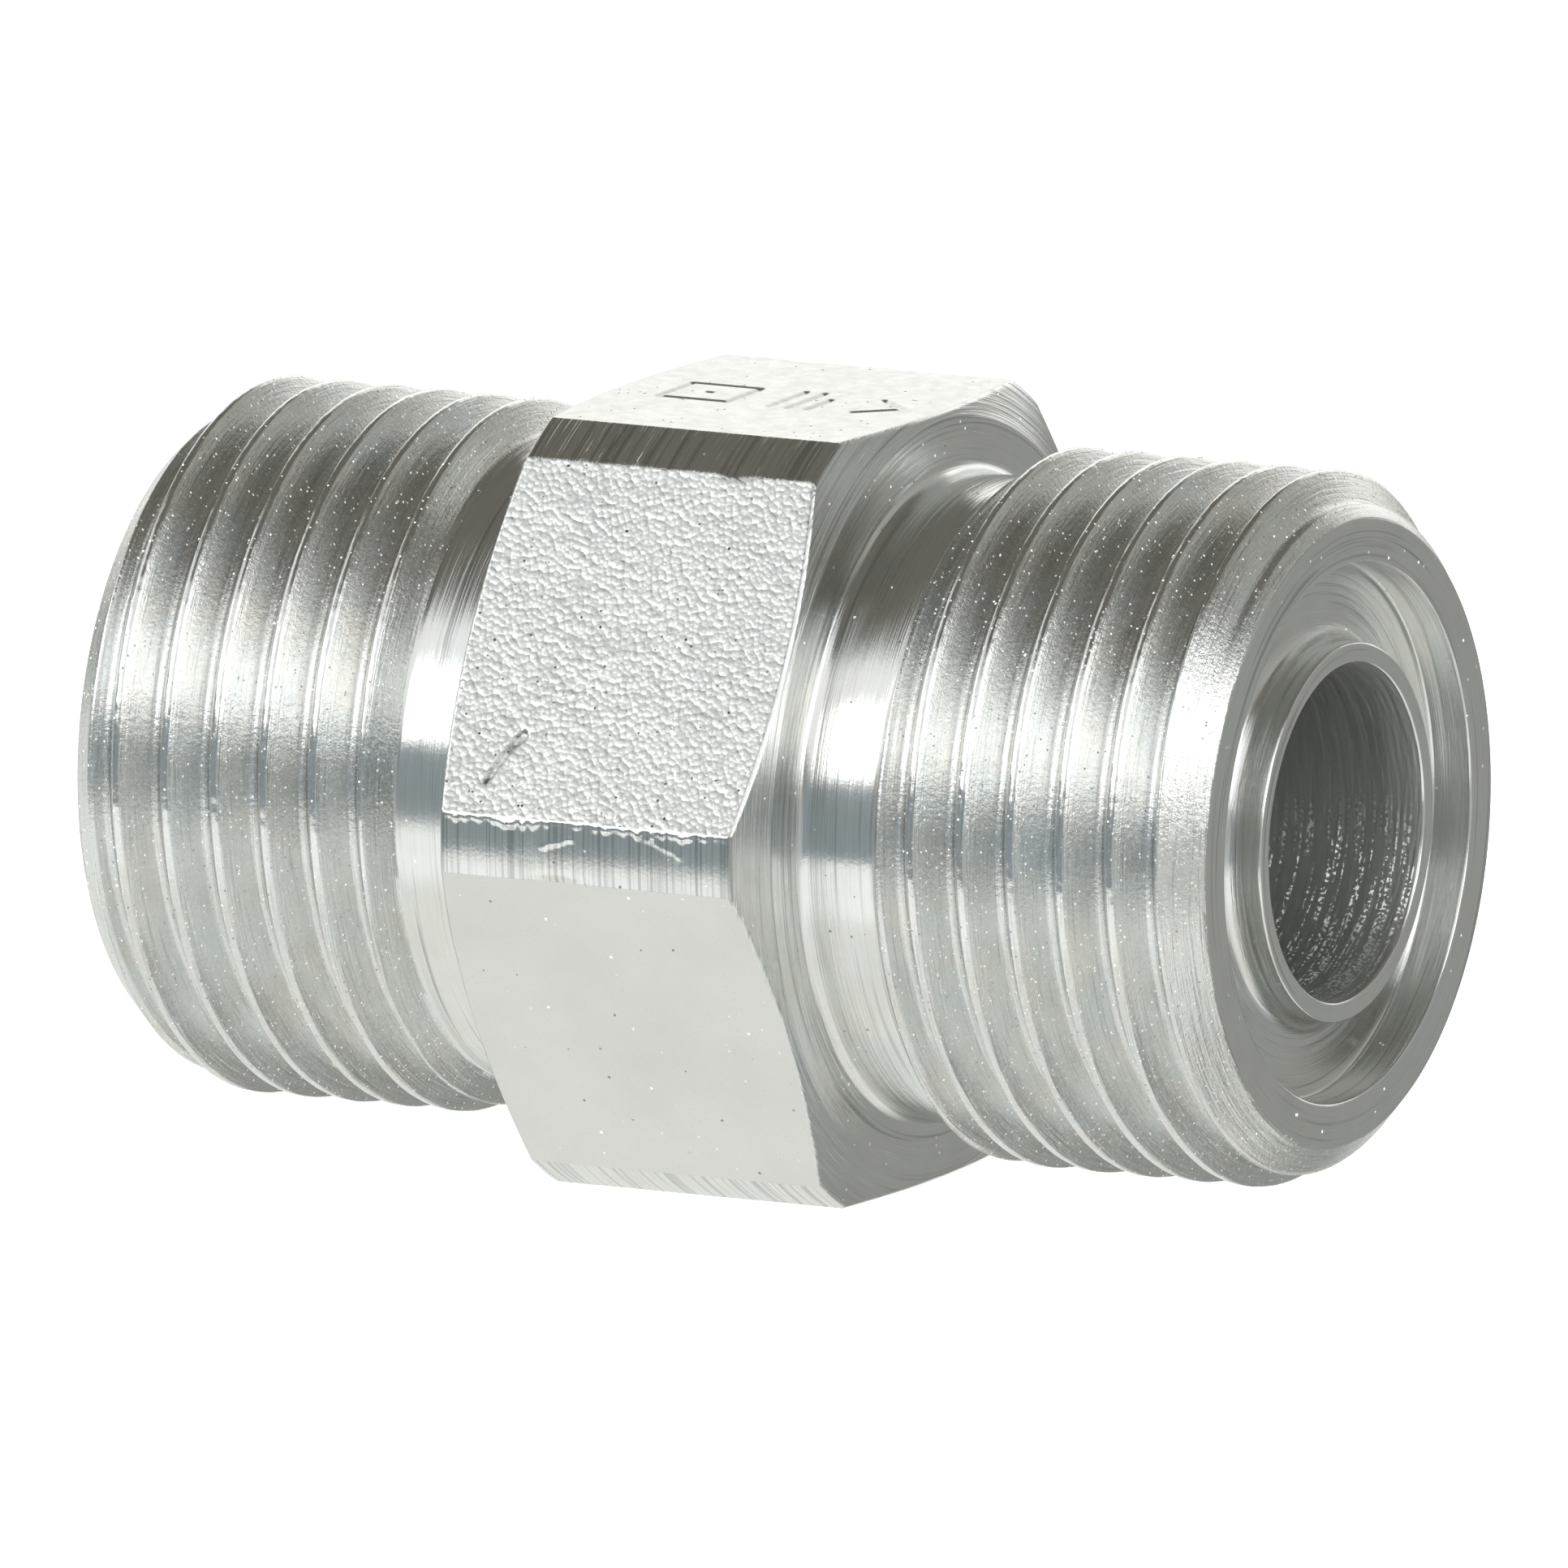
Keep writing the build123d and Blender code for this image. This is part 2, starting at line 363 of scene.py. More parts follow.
def burr(x, r):
    """Metal pushed over the forged flats' edges onto the turned corners, and two chips of it."""
    change = np.zeros_like(x)
    for normal in PEBBLED:
        off = degrees_from(normal)
        for side in (-1, 1):
            beyond = side * off - EDGE_ANGLE + np.zeros_like(x)
            where = 40 * side + normal + np.zeros_like(x)
            drips = value_noise(x * 6.5, where, 15) * 0.55
            bulge = value_noise(x * 1.1, where, 16) * 0.9
            reach = np.clip(0.25 + drips + bulge * 0.6, 0, BURR_LONGEST)
            plane = FLAT_DISTANCE / np.cos(np.radians(np.clip(EDGE_ANGLE + beyond, 0, 40)))
            held = 1 - np.clip((beyond - reach) / BURR_SLOPE, 0, 1)
            on_corner = (beyond > 0) & (beyond < 3)
            change += np.where(on_corner, (plane - CORNER_RADIUS) * held * BURR_HEIGHT, 0)
    around = (ANGLES - 180) / 180 * math.pi * CORNER_RADIUS + np.zeros_like(x)
    around += value_noise(x * 5, around * 5 + 40, 17) * 0.06
    change += CHIP_HEIGHT * along_stroke(x, around, CHIP_START, CHIP_END, CHIP_WIDTH)
    change += CURL_HEIGHT * along_stroke(x, around, CURL_START, CURL_END, CURL_WIDTH)
    return change * fade_at_ends(x, r)


def stamps(x, r):
    """Plain batch marks pressed into the top flat: a box with a dot, bars, and a wedge."""
    off = degrees_from(STAMPED)
    across = across_flat(off, x)
    depth = np.zeros_like(x)
    for start, end in STAMP_STROKES:
        depth = np.maximum(depth, along_stroke(x, across, start, end, STAMP_WIDTH))
    return -STAMP_DEPTH * depth * (np.abs(off) < EDGE_ANGLE) * fade_at_ends(x, r)


def corner_wear(x, r):
    """Lathe lines and a few nicks on the turned corners."""
    on_corner = np.abs(FROM_FLAT) > EDGE_ANGLE - 0.01
    lines = value_noise(x * 5.5, x * 0 + 7, 31) + 0.5 * value_noise(x * 12, x * 0 + 7, 32)
    change = CORNER_LINES * lines * on_corner
    for angle, at_x, width, depth in CORNER_NICKS:
        around = np.radians(degrees_from(angle)) * CORNER_RADIUS
        change -= depth * np.exp(-(around / 0.16) ** 2) * np.exp(-((x - at_x) / width) ** 2)
    return change * fade_at_ends(x, r)


def end_rings(x, r):
    """Change of x: the tool's rings on the hexagon's end faces and bevels."""
    off_rim = np.clip((HEX_RADIUS[None, :] - 0.25 - r) / 0.2, 0, 1)
    off_neck = np.clip((r - NECK_RADIUS - NECK_FILLET) / 0.1, 0, 1)
    lines = value_noise(r * 3.1, r * 0 + 3, 33) + 0.5 * value_noise(r * 8, r * 0 + 3, 34)
    return END_LINES * lines * off_rim * off_neck * np.sign(x)


def crest_wear(x, r):
    """Fine unevenness of the crests, which rolling and handling leave."""
    height = np.clip((r - ROOT_RADIUS) / (CREST_RADIUS - ROOT_RADIUS), 0, 1)
    on_thread = (np.abs(x) > NECK_END + 0.2) & (np.abs(x) < HALF_LENGTH - 0.15)
    around = ANGLES / 360 * 240 + np.zeros_like(x)
    fine = value_noise(around, x * 7, 21, period_u=240)
    return np.where(on_thread, CREST_WEAR * fine * height ** 3, 0)


def with_wear(x, r, *effects):
    return r + sum(effect(x, r) for effect in effects)


# ---- building the mesh ------------------------------------------------------------
REGIONS = ["threads", "turned", "forged_flat", "smooth_flat", "end_face", "bore"]


class Skin:
    """Collects points and faces of grids, ring by ring, for one mesh."""

    def __init__(self):
        self.points, self.faces, self.regions, self.count = [], [], [], 0

    def add(self, x, r, region, shift=0):
        """A grid of rows by columns; region is a number or one number per face.

        shift is how many rows later the last column meets the first, for a helix.
        """
        rows = len(x)
        grid = np.stack([x, r * np.cos(TURN), r * np.sin(TURN)], axis=-1).reshape(-1, 3)
        here = np.arange(rows * COLUMNS).reshape(rows, COLUMNS) + self.count
        after = np.roll(here, -1, axis=1)
        if shift:
            moved = np.arange(rows) + shift
            after[:, -1] = np.where(moved < rows, here[np.minimum(moved, rows - 1), 0], -1)
        quads = np.stack([here[:-1], after[:-1], after[1:], here[1:]], axis=-1)
        kind = np.broadcast_to(np.asarray(region), quads.shape[:2])
        keep = (quads >= 0).all(axis=-1)
        self.points.append(grid)
        self.faces.append(quads[keep])
        self.regions.append(kind[keep])
        self.count += rows * COLUMNS

    def mesh(self, name):
        points = np.concatenate(self.points) * MM
        faces = np.concatenate(self.faces)
        regions = np.concatenate(self.regions)
        points, faces, regions = merged(points, faces, regions)
        return mesh_from(name, points, faces, regions)


def merged(points, faces, regions):
    """Joins points that coincide, and drops or trims the faces that lose a side."""
    keys = np.round(points / SAME_POINT).astype(np.int64)
    _, first, inverse = np.unique(keys, axis=0, return_index=True, return_inverse=True)
    points = points[first]
    faces = inverse.reshape(-1)[faces]
    same_next = faces == np.roll(faces, -1, axis=1)
    lost = same_next.sum(axis=1)
    opposite = (faces[:, 0] == faces[:, 2]) | (faces[:, 1] == faces[:, 3])
    quads = faces[(lost == 0) & ~opposite]
    quad_regions = regions[(lost == 0) & ~opposite]
    one = (lost == 1) & ~opposite
    triangles = faces[one][~same_next[one]].reshape(-1, 3)
    return points, (quads, triangles), np.concatenate([quad_regions, regions[one]])


def mesh_from(name, points, faces, regions):
    quads, triangles = faces
    mesh = bpy.data.meshes.new(name)
    mesh.vertices.add(len(points))
    mesh.vertices.foreach_set("co", points.reshape(-1))
    corners = np.concatenate([quads.reshape(-1), triangles.reshape(-1)]).astype(np.int32)
    sizes = np.concatenate([np.full(len(quads), 4), np.full(len(triangles), 3)])
    starts = np.concatenate([[0], np.cumsum(sizes)[:-1]]).astype(np.int32)
    mesh.loops.add(len(corners))
    mesh.loops.foreach_set("vertex_index", corners)
    mesh.polygons.add(len(sizes))
    mesh.polygons.foreach_set("loop_start", starts)
    mesh.polygons.foreach_set("material_index", regions.astype(np.int32))
    mesh.update(calc_edges=True)
    mesh.validate()
    mesh.shade_smooth()
    return mesh


def flat_regions(rows):
    """Region number of every face of the hexagon's section."""
    kinds = np.full((rows - 1, COLUMNS), REGIONS.index("turned"))
    bevel_rows = (rows - HEX_ROWS) // 2
    just_past_column = 0.1
    for normal in FLAT_NORMALS:
        name = "forged_flat" if normal in PEBBLED else "smooth_flat"
        inside = np.abs(degrees_from(normal - just_past_column)) < EDGE_ANGLE
        kinds[bevel_rows:-bevel_rows, inside] = REGIONS.index(name)
    return kinds


def on_side(side, points):
    """Plain rings from the +X half's points, or mirrored to -X with their order kept in x."""
    x, r = rings(points)
    return (x, r) if side > 0 else (-x[::-1], r[::-1])


def body_piece():
    skin = Skin()
    x, r = hexagon_section()
    x = x + end_rings(x, r)
    skin.add(x, with_wear(x, r, forged_flats, burr, corner_wear, stamps), flat_regions(len(x)))
    for side, phase in ((1, PHASE_PLUS), (-1, PHASE_MINUS)):
        skin.add(*on_side(side, neck_points()), REGIONS.index("turned"))
        x, r = thread_section(phase, side)
        r = with_wear(x, r, crest_wear)
        skin.add(x, r, REGIONS.index("threads"), shift=len(PITCH_ROWS))
        skin.add(*on_side(side, end_points()), REGIONS.index("end_face"))
    skin.add(*rings(bore_points()), REGIONS.index("bore"))

    mesh = skin.mesh("nipple_body_skin")
    piece = bpy.data.objects.new("nipple_body_skin", mesh)
    bpy.context.collection.objects.link(piece)
    return piece


def o_ring_piece():
    """The far end's O-ring, with the fine parting line of its mould."""
    middle_x = (ring_low[0] + ring_high[0]) / 2 / MM
    section = (ring_high[0] - ring_low[0]) / 2 / MM
    middle_r = ring_high[1] / MM - section
    around, through = 180, 40
    turn = np.linspace(0, 2 * math.pi, around, endpoint=False)[:, None]
    tilt = np.linspace(0, 2 * math.pi, through, endpoint=False)[None, :]
    proud = PARTING_LINE * (np.exp(-(np.cos(tilt) / PARTING_SPREAD) ** 2) - 1)
    radius = middle_r + (section + proud) * np.sin(tilt) + np.zeros_like(turn)
    x = middle_x + (section + proud) * np.cos(tilt) + np.zeros_like(turn)
    points = np.stack([x, radius * np.cos(turn), radius * np.sin(turn)], axis=-1) * MM
    index = np.arange(around * through).reshape(around, through)
    ahead = np.roll(index, -1, axis=0)
    quads = np.stack([index, np.roll(index, -1, axis=1), np.roll(ahead, -1, axis=1), ahead], axis=-1)
    points, quads = points.reshape(-1, 3), quads.reshape(-1, 4)
    mesh = mesh_from("face_seal_ring", points, (quads, np.zeros((0, 3), int)), np.zeros(len(quads)))
    piece = bpy.data.objects.new("face_seal_ring", mesh)
    bpy.context.collection.objects.link(piece)
    return piece


# ---- materials --------------------------------------------------------------------
# Noise scales are cells per metre, and bump distances are metres.
Place = namedtuple("Place", "position x y z radius")
GLINT_LEAN = (0.22, -0.92, 0.33)            # towards the front light
BORE_LEAN = (0.75, -0.59, 0.30)             # out through the near end
ZINC = (0.76, 0.765, 0.75, 1)
ZINC_DULL = (0.65, 0.66, 0.635, 1)
ZINC_BRIGHT = (0.86, 0.865, 0.855, 1)
ZINC_SCORED = (0.42, 0.435, 0.42, 1)
ZINC_FORGED = (0.54, 0.55, 0.55, 1)
ZINC_COOL = (0.715, 0.765, 0.785, 1)
ZINC_WARM = (0.785, 0.765, 0.725, 1)
RUBBER_DARK = (0.012, 0.012, 0.013, 1)
RUBBER_LIGHT = (0.024, 0.024, 0.025, 1)


class Graph:
    """Short calls for building a node tree."""

    def __init__(self, tree):
        self.tree = tree
        tree.nodes.clear()

    def node(self, kind, inputs=None, **settings):
        """A node with its settings, and its inputs linked to sockets or set to plain values."""
        made = self.tree.nodes.new(kind)
        for name, value in settings.items():
            setattr(made, name, value)
        for socket, value in (inputs or {}).items():
            if isinstance(value, bpy.types.NodeSocket):
                self.tree.links.new(value, made.inputs[socket])
            else:
                made.inputs[socket].default_value = value
        return made

    def math(self, operation, *values):
        return self.node("ShaderNodeMath", dict(enumerate(values)), operation=operation).outputs[0]

    def fit(self, value, from_low, from_high, to_low=0.0, to_high=1.0, smooth=False):
        """value moved from one range to another, and held at the ends of it."""
        inputs = {"Value": value, "From Min": from_low, "From Max": from_high}
        inputs.update({"To Min": to_low, "To Max": to_high})
        kind = "SMOOTHSTEP" if smooth else "LINEAR"
        return self.node("ShaderNodeMapRange", inputs, interpolation_type=kind).outputs[0]

    def mix(self, share, a, b):
        """The colour a share of the way from a to b; a colour mix's own sockets are 6, 7 and 2."""
        return self.node("ShaderNodeMix", {0: share, 6: a, 7: b}, data_type="RGBA").outputs[2]


def grey(value, warmth=0.0):
    return (value * (1 + warmth), value, value * (1 - warmth), 1)


def new_material(name):
    material = bpy.data.materials.new(name)
    material.use_nodes = True
    return material, Graph(material.node_tree)


def place(graph):
    """Sockets of the surface point, in metres; radius is its distance from the bore axis."""
    position = graph.node("ShaderNodeTexCoord").outputs["Object"]
    parts = graph.node("ShaderNodeSeparateXYZ", {"Vector": position}).outputs
    x, y, z = parts["X"], parts["Y"], parts["Z"]
    squares = graph.math("ADD", graph.math("MULTIPLY", y, y), graph.math("MULTIPLY", z, z))
    return Place(position, x, y, z, graph.math("SQRT", squares))


def turned_noise(graph, at, fineness, cells_round, detail=3.0):
    """Noise in rings round the bore: fine along x and radius, cells_round cells to a radian."""
    fine_x = graph.math("MULTIPLY", at.x, fineness)
    fine_r = graph.math("MULTIPLY", at.radius, fineness)
    around_y = graph.math("MULTIPLY", graph.math("DIVIDE", at.y, at.radius), cells_round)
    around_z = graph.math("MULTIPLY", graph.math("DIVIDE", at.z, at.radius), cells_round)
    vector = graph.node("ShaderNodeCombineXYZ", {"X": fine_x, "Y": around_y, "Z": around_z}).outputs[0]
    inputs = {"Vector": vector, "W": fine_r, "Scale": 1.0, "Detail": detail, "Roughness": 0.6}
    return graph.node("ShaderNodeTexNoise", inputs, noise_dimensions="4D").outputs["Fac"]


def plain_noise(graph, at, scale, detail=3.0, rough=0.6):
    inputs = {"Vector": at.position, "Scale": scale, "Detail": detail, "Roughness": rough}
    return graph.node("ShaderNodeTexNoise", inputs).outputs["Fac"]


def bump(graph, height, distance, strength=1.0, below=None):
    inputs = {"Height": height, "Distance": distance, "Strength": strength}
    if below is not None:
        inputs["Normal"] = below
    return graph.node("ShaderNodeBump", inputs).outputs["Normal"]


def pushed_normal(graph, push):
    """The surface's normal, pushed over by a vector."""
    normal = graph.node("ShaderNodeNewGeometry").outputs["Normal"]
    total = graph.node("ShaderNodeVectorMath", {0: normal, 1: push}, operation="ADD")
    return graph.node("ShaderNodeVectorMath", {0: total.outputs[0]}, operation="NORMALIZE").outputs[0]


def glints(graph, at, scale, share, tilt):
    """Tiny facets over a share of the surface, most of them tipped towards the front light.

    Gives the surface's normal with the facets in it, and 1 where a facet is.
    """
    cells = graph.node("ShaderNodeTexVoronoi", {"Vector": at.position, "Scale": scale}).outputs
    chance = graph.node("ShaderNodeSeparateColor", {"Color": cells["Color"]}).outputs[0]
    chosen = graph.math("GREATER_THAN", chance, 1 - share)
    facet = graph.math("MULTIPLY", chosen, graph.math("LESS_THAN", cells["Distance"], 0.4))
    normal = graph.node("ShaderNodeNewGeometry").outputs["Normal"]
    towards = graph.node("ShaderNodeVectorMath", {0: normal, 1: GLINT_LEAN}, operation="DOT_PRODUCT")
    facing = graph.fit(towards.outputs["Value"], -0.1, 0.4)
    amount = graph.math("MULTIPLY", graph.math("MULTIPLY", facet, facing), tilt)
    # a chosen cell's colour is near 1 in red, and a half on average in green and blue
    spread = (GLINT_LEAN[0] - 0.97, GLINT_LEAN[1] - 0.5, GLINT_LEAN[2] - 0.5)
    tipped = graph.node("ShaderNodeVectorMath", {0: cells["Color"], 1: spread}, operation="ADD")
    tipped = graph.node("ShaderNodeVectorMath", {0: tipped.outputs[0], "Scale": amount}, operation="SCALE")
    return pushed_normal(graph, tipped.outputs[0]), facet


def tinted(graph, at, colour):
    """The faint blue and straw tints of the clear passivation over the zinc."""
    cool = graph.fit(plain_noise(graph, at, 420, 2), 0.45, 0.65, 0, 0.55)
    warm = graph.fit(plain_noise(graph, at, 530, 2), 0.48, 0.68, 0, 0.5)
    return graph.mix(warm, graph.mix(cool, colour, ZINC_COOL), ZINC_WARM)


def metal(graph, colour, roughness, normal):
    inputs = {"Base Color": colour, "Roughness": roughness, "Normal": normal, "Metallic": 1.0}
    shader = graph.node("ShaderNodeBsdfPrincipled", inputs)
    graph.node("ShaderNodeOutputMaterial", {"Surface": shader.outputs[0]})


def zinc_turned(name, fineness=22000, depth=0.000012, broad=3.5, rough_low=0.08, rough_high=0.18):
    """Bright zinc over lathe marks that run round the bore."""
    material, graph = new_material(name)
    at = place(graph)
    rings_fine = turned_noise(graph, at, fineness, 2.5)
    rings_broad = turned_noise(graph, at, fineness / 4, 0.9)
    cloud = plain_noise(graph, at, 700)
    speck = plain_noise(graph, at, 9000, 2)
    height = graph.math("ADD", rings_fine, graph.math("MULTIPLY", rings_broad, broad))
    off_neck = graph.fit(at.radius, NECK_RADIUS * MM, (NECK_RADIUS + 1) * MM, 0.45, 1.0)
    facets, _ = glints(graph, at, 9000, 0.008, 1.2)
    normal = bump(graph, height, depth, off_neck, facets)
    normal = bump(graph, speck, 0.000003, 0.6, normal)
    colour = graph.mix(graph.fit(cloud, 0.35, 0.75, 0, 0.6), ZINC, ZINC_DULL)
    colour = tinted(graph, at, colour)
    colour = graph.mix(graph.fit(rings_fine, 0.45, 0.75, 0, 0.5), colour, ZINC_BRIGHT)
    colour = graph.mix(graph.fit(rings_broad, 0.56, 0.68, 0, 0.8), colour, ZINC_SCORED)
    on_corner = graph.fit(at.radius, (CORNER_RADIUS - 0.45) * MM, (CORNER_RADIUS - 0.15) * MM)
    lines = turned_noise(graph, at, 9000, 0.7, 1.0)
    normal = bump(graph, lines, 0.000008, on_corner, normal)
    line_share = graph.math("MULTIPLY", on_corner, graph.fit(lines, 0.52, 0.64, 0, 0.7))
    colour = graph.mix(line_share, colour, ZINC_SCORED)
    roughness = graph.fit(graph.math("ADD", rings_broad, cloud), 0.7, 1.3, rough_low, rough_high)
    metal(graph, colour, roughness, normal)
    return material


def zinc_bore():
    """The drilled bore: rings left by the drill, with short bright flecks along the lower ones."""
    material, graph = new_material("zinc_bore")
    at = place(graph)
    rings_broad = turned_noise(graph, at, 3600, 1.4, 1.0)
    scratches = turned_noise(graph, at, 8000, 6, 1.0)
    arcs = graph.fit(turned_noise(graph, at, 9500, 2.2, 0.0), 0.51, 0.60)
    dots = graph.fit(plain_noise(graph, at, 9500, 1), 0.48, 0.62)
    lower = graph.fit(at.z, 0.4 * MM, -2.0 * MM)
    fleck = graph.math("MULTIPLY", graph.math("MULTIPLY", arcs, dots), lower)
    push = graph.node("ShaderNodeVectorMath", {0: BORE_LEAN, "Scale": fleck}, operation="SCALE")
    normal = bump(graph, rings_broad, 0.000026, below=pushed_normal(graph, push.outputs[0]))
    normal = bump(graph, scratches, 0.000010, below=normal)
    colour = graph.mix(graph.fit(rings_broad, 0.40, 0.62), ZINC_DULL, ZINC_BRIGHT)
    roughness = graph.fit(rings_broad, 0.35, 0.65, 0.48, 0.34)
    roughness = graph.fit(fleck, 0, 1, roughness, 0.25)
    metal(graph, colour, roughness, normal)
    return material


def zinc_threads():
    """Bright zinc on the rolled threads: streaks along the turns and many small facets."""
    material, graph = new_material("zinc_on_threads")
    at = place(graph)
    height_up = graph.fit(at.radius, ROOT_RADIUS * MM, CREST_RADIUS * MM)
    on_flank = graph.fit(height_up, 0.97, 0.86)
    rings_fine = turned_noise(graph, at, 17000, 4)
    rings_broad = turned_noise(graph, at, 7000, 2)
    speck = plain_noise(graph, at, 8000, 2, 0.7)
    cloud = plain_noise(graph, at, 500)
    facets, facet = glints(graph, at, 12000, 0.07, 1.3)
    marks = graph.math("ADD", rings_fine, graph.math("MULTIPLY", rings_broad, 1.5))
    normal = bump(graph, marks, 0.000013, below=facets)
    normal = bump(graph, speck, 0.000015, graph.fit(on_flank, 0, 1, 0.3, 0.9), normal)
    colour = graph.mix(graph.fit(cloud, 0.35, 0.75), ZINC, ZINC_DULL)
    colour = tinted(graph, at, colour)
    colour = graph.mix(graph.fit(speck, 0.5, 0.7, 0, 0.6), colour, ZINC_BRIGHT)
    colour = graph.mix(graph.fit(rings_fine, 0.46, 0.34, 0, 0.5), colour, ZINC_SCORED)
    # partly painted glint: the facets glint through their tipped normals, and their lighter colour here is
    # a painted boost to that glint
    colour = graph.mix(facet, colour, ZINC_BRIGHT)
    roughness = graph.fit(speck, 0.3, 0.7, 0.08, 0.16)
    roughness = graph.math("ADD", roughness, graph.fit(on_flank, 0, 1, 0, 0.12))
    roughness = graph.fit(facet, 0, 1, roughness, 0.08)
    metal(graph, colour, roughness, normal)
    return material


def dent_mask(graph, at):
    """1 in the dent, which is coloured dark: the points well under the forged flats' plane."""
    turn = math.radians(PEBBLED[0])
    part_y = graph.math("MULTIPLY", at.y, math.cos(turn))
    part_z = graph.math("MULTIPLY", at.z, math.sin(turn))
    out = graph.math("ABSOLUTE", graph.math("ADD", part_y, part_z))
    deep = graph.fit(out, (FLAT_DISTANCE - 0.025) * MM, (FLAT_DISTANCE - 0.08) * MM, 0, 0.8)
    return graph.math("MULTIPLY", deep, graph.fit(plain_noise(graph, at, 3600), 0.42, 0.58))


def zinc_forged():
    """The forged flats: a pebbled skin finer than the mesh's own."""
    material, graph = new_material("zinc_forged_flat")
    at = place(graph)
    inputs = {"Vector": at.position, "Scale": 6000.0, "Smoothness": 0.4}
    pebbles = graph.node("ShaderNodeTexVoronoi", inputs, feature="SMOOTH_F1").outputs["Distance"]
    dome = graph.math("SUBTRACT", 1.0, graph.math("MULTIPLY", pebbles, pebbles))
    skin = plain_noise(graph, at, 5200, 2)
    cloud = plain_noise(graph, at, 350)
    facets, facet = glints(graph, at, 9000, 0.05, 1.2)
    normal = bump(graph, dome, 0.000014, below=facets)
    normal = bump(graph, skin, 0.000009, 0.7, normal)
    colour = graph.mix(graph.fit(cloud, 0.3, 0.7, 0, 0.8), ZINC_FORGED, ZINC_DULL)
    # painted shade: darker in the low gaps between the pebble domes
    colour = graph.mix(graph.fit(dome, 0.92, 0.7, 0, 0.5), colour, ZINC_SCORED)
    colour = graph.mix(dent_mask(graph, at), colour, grey(0.14))
    roughness = graph.fit(facet, 0, 1, graph.fit(skin, 0.3, 0.7, 0.18, 0.30), 0.10)
    metal(graph, colour, roughness, normal)
    return material


def zinc_flat():
    """The smooth flats: matte zinc with tiny bright crystals."""
    material, graph = new_material("zinc_smooth_flat")
    at = place(graph)
    crystals = plain_noise(graph, at, 12000, 2, 0.7)
    cloud = plain_noise(graph, at, 260)
    drift = plain_noise(graph, at, 2400)
    facets, facet = glints(graph, at, 8500, 0.012, 1.6)
    normal = bump(graph, crystals, 0.000006, 0.7, facets)
    normal = bump(graph, drift, 0.000008, 0.5, normal)
    colour = graph.mix(graph.fit(cloud, 0.35, 0.7, 0, 0.5), ZINC, ZINC_DULL)
    colour = graph.mix(graph.fit(crystals, 0.62, 0.75, 0, 0.7), colour, grey(0.6, 0.02))
    roughness = graph.fit(facet, 0, 1, graph.fit(drift, 0.3, 0.7, 0.24, 0.34), 0.12)
    metal(graph, colour, roughness, normal)
    return material


def rubber():
    material, graph = new_material("nitrile_rubber_skin")
    at = place(graph)
    mottle = plain_noise(graph, at, 900)
    pores = plain_noise(graph, at, 9000, 2)
    normal = bump(graph, pores, 0.000006, 0.5)
    colour = graph.mix(graph.fit(mottle, 0.35, 0.7), RUBBER_DARK, RUBBER_LIGHT)
    roughness = graph.fit(mottle, 0.3, 0.7, 0.36, 0.52)
    inputs = {"Base Color": colour, "Roughness": roughness, "Normal": normal}
    shader = graph.node("ShaderNodeBsdfPrincipled", inputs)
    graph.node("ShaderNodeOutputMaterial", {"Surface": shader.outputs[0]})
    return material


# ---- studio -----------------------------------------------------------------------
# Camera, from the model's middle: degrees from -Y towards +X, degrees up, roll, and mm.
CAMERA_AZIMUTH = 27.388
CAMERA_ELEVATION = 11.005
CAMERA_ROLL = -0.349
CAMERA_DISTANCE = 2000.0
CAMERA_SHIFT_RIGHT = 0.0005
CAMERA_SHIFT_UP = -0.1058
CAMERA_LENS = 1606.10


def add_camera():
    azimuth, elevation = math.radians(CAMERA_AZIMUTH), math.radians(CAMERA_ELEVATION)
    roll = math.radians(CAMERA_ROLL)
    level = math.cos(elevation)
    back = Vector((math.sin(azimuth) * level, -math.cos(azimuth) * level, math.sin(elevation)))
    level_right = Vector((math.cos(azimuth), math.sin(azimuth), 0))
    level_up = back.cross(level_right)
    right = level_right * math.cos(roll) + level_up * math.sin(roll)
    up = level_up * math.cos(roll) - level_right * math.sin(roll)
    spot = (back * CAMERA_DISTANCE + right * CAMERA_SHIFT_RIGHT + up * CAMERA_SHIFT_UP) * MM
    data = bpy.data.cameras.new("camera")
    data.lens = CAMERA_LENS
    data.sensor_width = 36
    data.clip_start = 0.01
    data.clip_end = 20
    camera = bpy.data.objects.new("camera", data)
    turned = Matrix((right, up, back)).transposed().to_4x4()
    camera.matrix_world = Matrix.Translation(spot) @ turned
    bpy.context.collection.objects.link(camera)
    bpy.context.scene.camera = camera


# Soft light by direction: degrees from -Y towards +X, degrees up, half width and half
# height, softness of the sides and of the top and bottom, and colour. Later ones cover
# earlier ones.
BASE_LIGHT = (0.165, 0.16, 0.137, 1)
SOFT_LIGHTS = {
    "floor_far": (0, -50, 400, 50, 10, 10, (0.90, 0.91, 0.865)),
    "floor_near": (-22, -22, 85, 10, 30, 9, (1.13, 1.14, 1.11)),
    "back_right": (142, -12, 50, 38, 14, 14, (0.34, 0.345, 0.325)),
    "back_right_card": (131, -12, 5, 22, 8, 12, (0.42, 0.43, 0.42)),
    "back_right_high": (150, 31, 40, 14, 20, 12, (0.43, 0.43, 0.40)),
    "horizon": (208, -8, 14, 5, 8, 6, (0.50, 0.505, 0.49)),
    "low_front_left": (-25, 0, 70, 13, 20, 3, (0.30, 0.345, 0.36)),
    "low_front_right": (66, -3, 20, 11, 12, 8, (0.50, 0.52, 0.51)),
    "front_upper": (-8, 34, 90, 19, 14, 12, (1.04, 1.05, 1.04)),
    "front_box": (-40, 24.5, 31, 11, 14, 5, (2.9, 2.91, 2.88)),
    "right_box": (83, 18, 18, 13, 8, 5, (2.4, 2.41, 2.38)),
    "back_low": (203, 16, 38, 15, 12, 6, (1.32, 1.31, 1.27)),
}


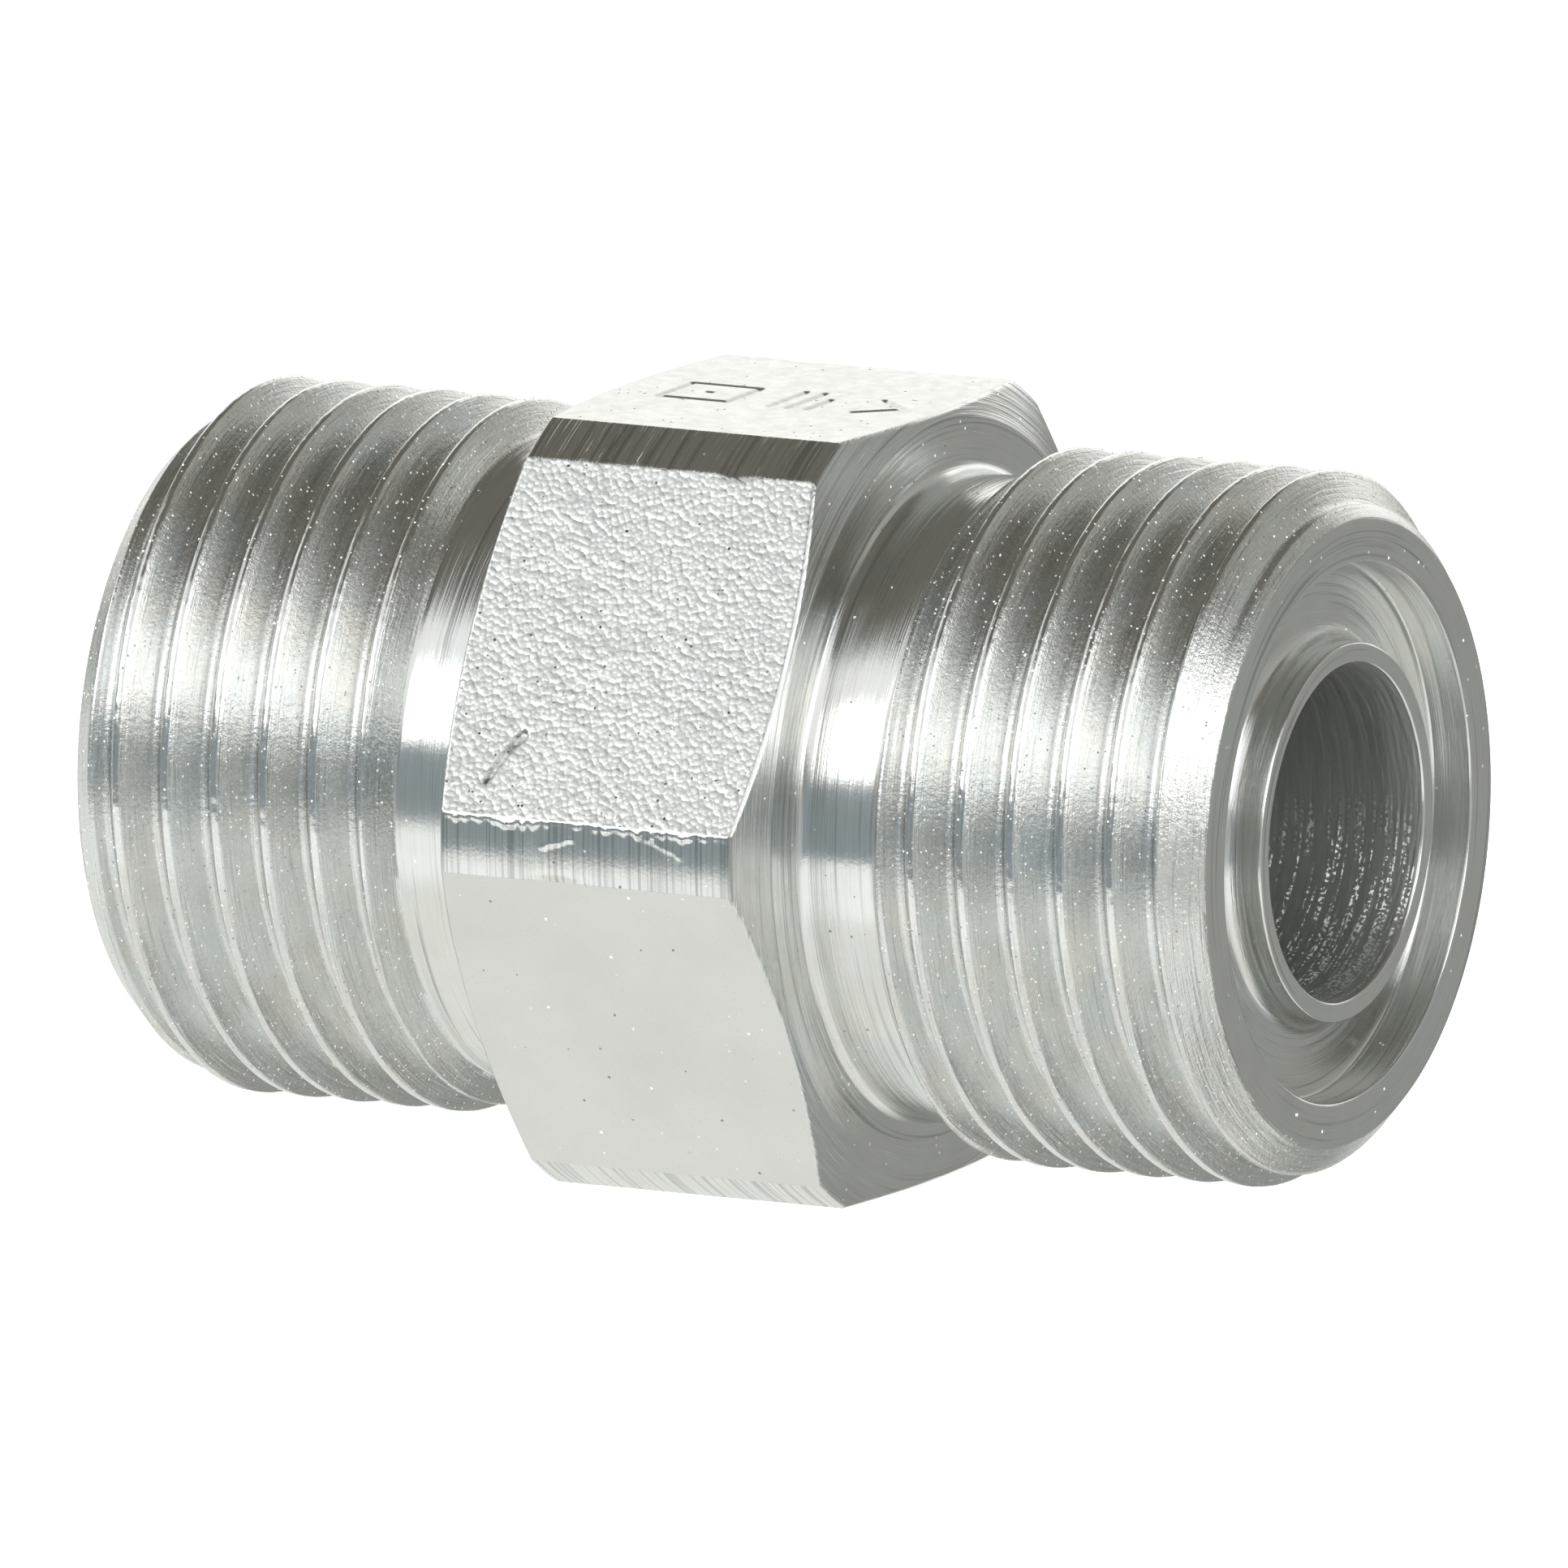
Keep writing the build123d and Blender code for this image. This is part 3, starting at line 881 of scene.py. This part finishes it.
def studio_light():
    """A world that lights by direction, and is itself seen as a white backdrop."""
    world = bpy.data.worlds.new("studio")
    bpy.context.scene.world = world
    world.use_nodes = True
    graph = Graph(world.node_tree)
    direction = graph.node("ShaderNodeTexCoord").outputs["Generated"]
    parts = graph.node("ShaderNodeSeparateXYZ", {"Vector": direction}).outputs
    up = graph.math("MULTIPLY", graph.math("ARCSINE", parts["Z"]), math.degrees(1))
    forward = graph.math("MULTIPLY", parts["Y"], -1.0)
    around = graph.math("MULTIPLY", graph.math("ARCTAN2", parts["X"], forward), math.degrees(1))
    light = BASE_LIGHT
    for azimuth, elevation, wide, high, side_soft, end_soft, colour in SOFT_LIGHTS.values():
        turn = graph.math("WRAP", graph.math("SUBTRACT", around, float(azimuth)), 180.0, -180.0)
        across = graph.math("ABSOLUTE", turn)
        above = graph.math("ABSOLUTE", graph.math("SUBTRACT", up, float(elevation)))
        side = graph.fit(across, wide + side_soft / 2, wide - side_soft / 2, smooth=True)
        end = graph.fit(above, high + end_soft / 2, high - end_soft / 2, smooth=True)
        light = graph.mix(graph.math("MULTIPLY", side, end), light, (*colour, 1))
    reflected = graph.node("ShaderNodeBackground", {"Color": light, "Strength": 1.0})
    backdrop = graph.node("ShaderNodeBackground", {"Color": grey(1.0), "Strength": 1.0})
    seen = graph.node("ShaderNodeLightPath").outputs["Is Camera Ray"]
    either = graph.node("ShaderNodeMixShader", {0: seen, 1: reflected.outputs[0], 2: backdrop.outputs[0]})
    graph.node("ShaderNodeOutputWorld", {"Surface": either.outputs[0]})


def add_floor():
    """A plain white floor just under the lowest flat, which reflections don't see."""
    half, gap = 3.0, 0.02 * MM
    mesh = bpy.data.meshes.new("floor")
    low = cad_box[0][2] - gap
    corners = [(-half, -half, low), (half, -half, low), (half, half, low), (-half, half, low)]
    mesh.from_pydata(corners, [], [(0, 1, 2, 3)])
    floor = bpy.data.objects.new("floor", mesh)
    bpy.context.collection.objects.link(floor)
    material, graph = new_material("white_floor")
    at = place(graph)
    mottle = plain_noise(graph, at, 40)
    colour = graph.mix(mottle, grey(0.86), grey(0.9))
    inputs = {"Base Color": colour, "Roughness": 0.8}
    inputs.update({"Emission Color": grey(1.0), "Emission Strength": 0.9})
    shader = graph.node("ShaderNodeBsdfPrincipled", inputs)
    graph.node("ShaderNodeOutputMaterial", {"Surface": shader.outputs[0]})
    mesh.materials.append(material)
    floor.visible_glossy = False
    floor.visible_diffuse = False
    floor.visible_shadow = False


# ---- putting it together ----------------------------------------------------------
body = body_piece()
MATERIALS = {
    "threads": zinc_threads,
    "turned": lambda: zinc_turned("zinc_turned"),
    "forged_flat": zinc_forged,
    "smooth_flat": zinc_flat,
    "end_face": lambda: zinc_turned("zinc_end_face", 24000, 0.000016, 3.0, 0.12, 0.22),
    "bore": zinc_bore,
}
for region in REGIONS:
    body.data.materials.append(MATERIALS[region]())
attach(body, "root")
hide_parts("nipple_body")

ring = o_ring_piece()
ring.data.materials.append(rubber())
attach(ring, "root")
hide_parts("face_seal_o_ring")

add_camera()
studio_light()
add_floor()
bpy.context.scene.view_settings.view_transform = "Standard"
